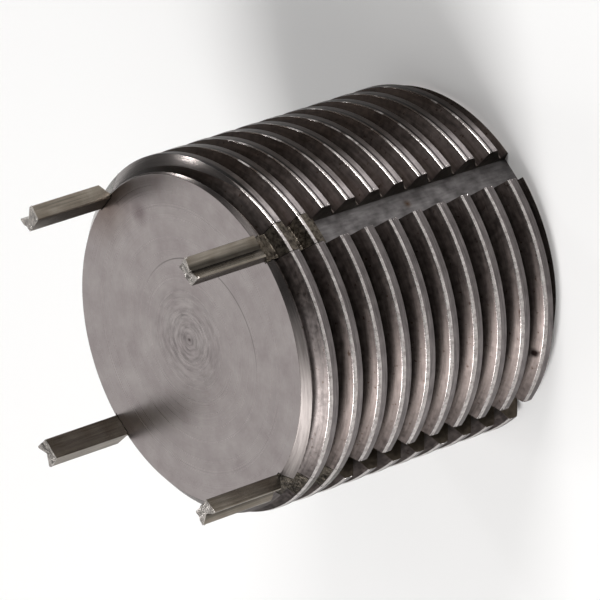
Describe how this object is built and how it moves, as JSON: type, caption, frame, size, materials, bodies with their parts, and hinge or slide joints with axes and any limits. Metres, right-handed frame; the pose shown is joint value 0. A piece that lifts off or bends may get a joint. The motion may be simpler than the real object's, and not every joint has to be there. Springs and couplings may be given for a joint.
{
  "type": "threaded insert",
  "caption": "Solid threaded insert blank with a full-length outside thread, slots down its side and locking keys standing up from one end, ready to be driven down.",
  "frame": {"origin": "centre of the flat back face, which the part stands on", "axes": "+Z along the thread's axis from the back face towards the key end; +X lies midway between two keys"},
  "size_m": [0.0176, 0.0176, 0.0203],
  "materials": {
    "turned_steel": "turned and cleaned stainless steel with fine tool marks",
    "key_steel": "drawn stainless steel wire, duller than the body"
  },
  "bodies": {
    "body": {"insert_body": "turned_steel"},
    "key_1": {"locking_key_1": "key_steel"},
    "key_2": {"locking_key_2": "key_steel"},
    "key_3": {"locking_key_3": "key_steel"},
    "key_4": {"locking_key_4": "key_steel"}
  },
  "joints": [
    {"name": "drive_key_1", "type": "slide", "parent": "body", "child": "key_1", "axis": [0, 0, -1], "range_m": [0, 0.00445]},
    {"name": "drive_key_2", "type": "slide", "parent": "body", "child": "key_2", "axis": [0, 0, -1], "range_m": [0, 0.00445]},
    {"name": "drive_key_3", "type": "slide", "parent": "body", "child": "key_3", "axis": [0, 0, -1], "range_m": [0, 0.00445]},
    {"name": "drive_key_4", "type": "slide", "parent": "body", "child": "key_4", "axis": [0, 0, -1], "range_m": [0, 0.00445]}
  ]
}
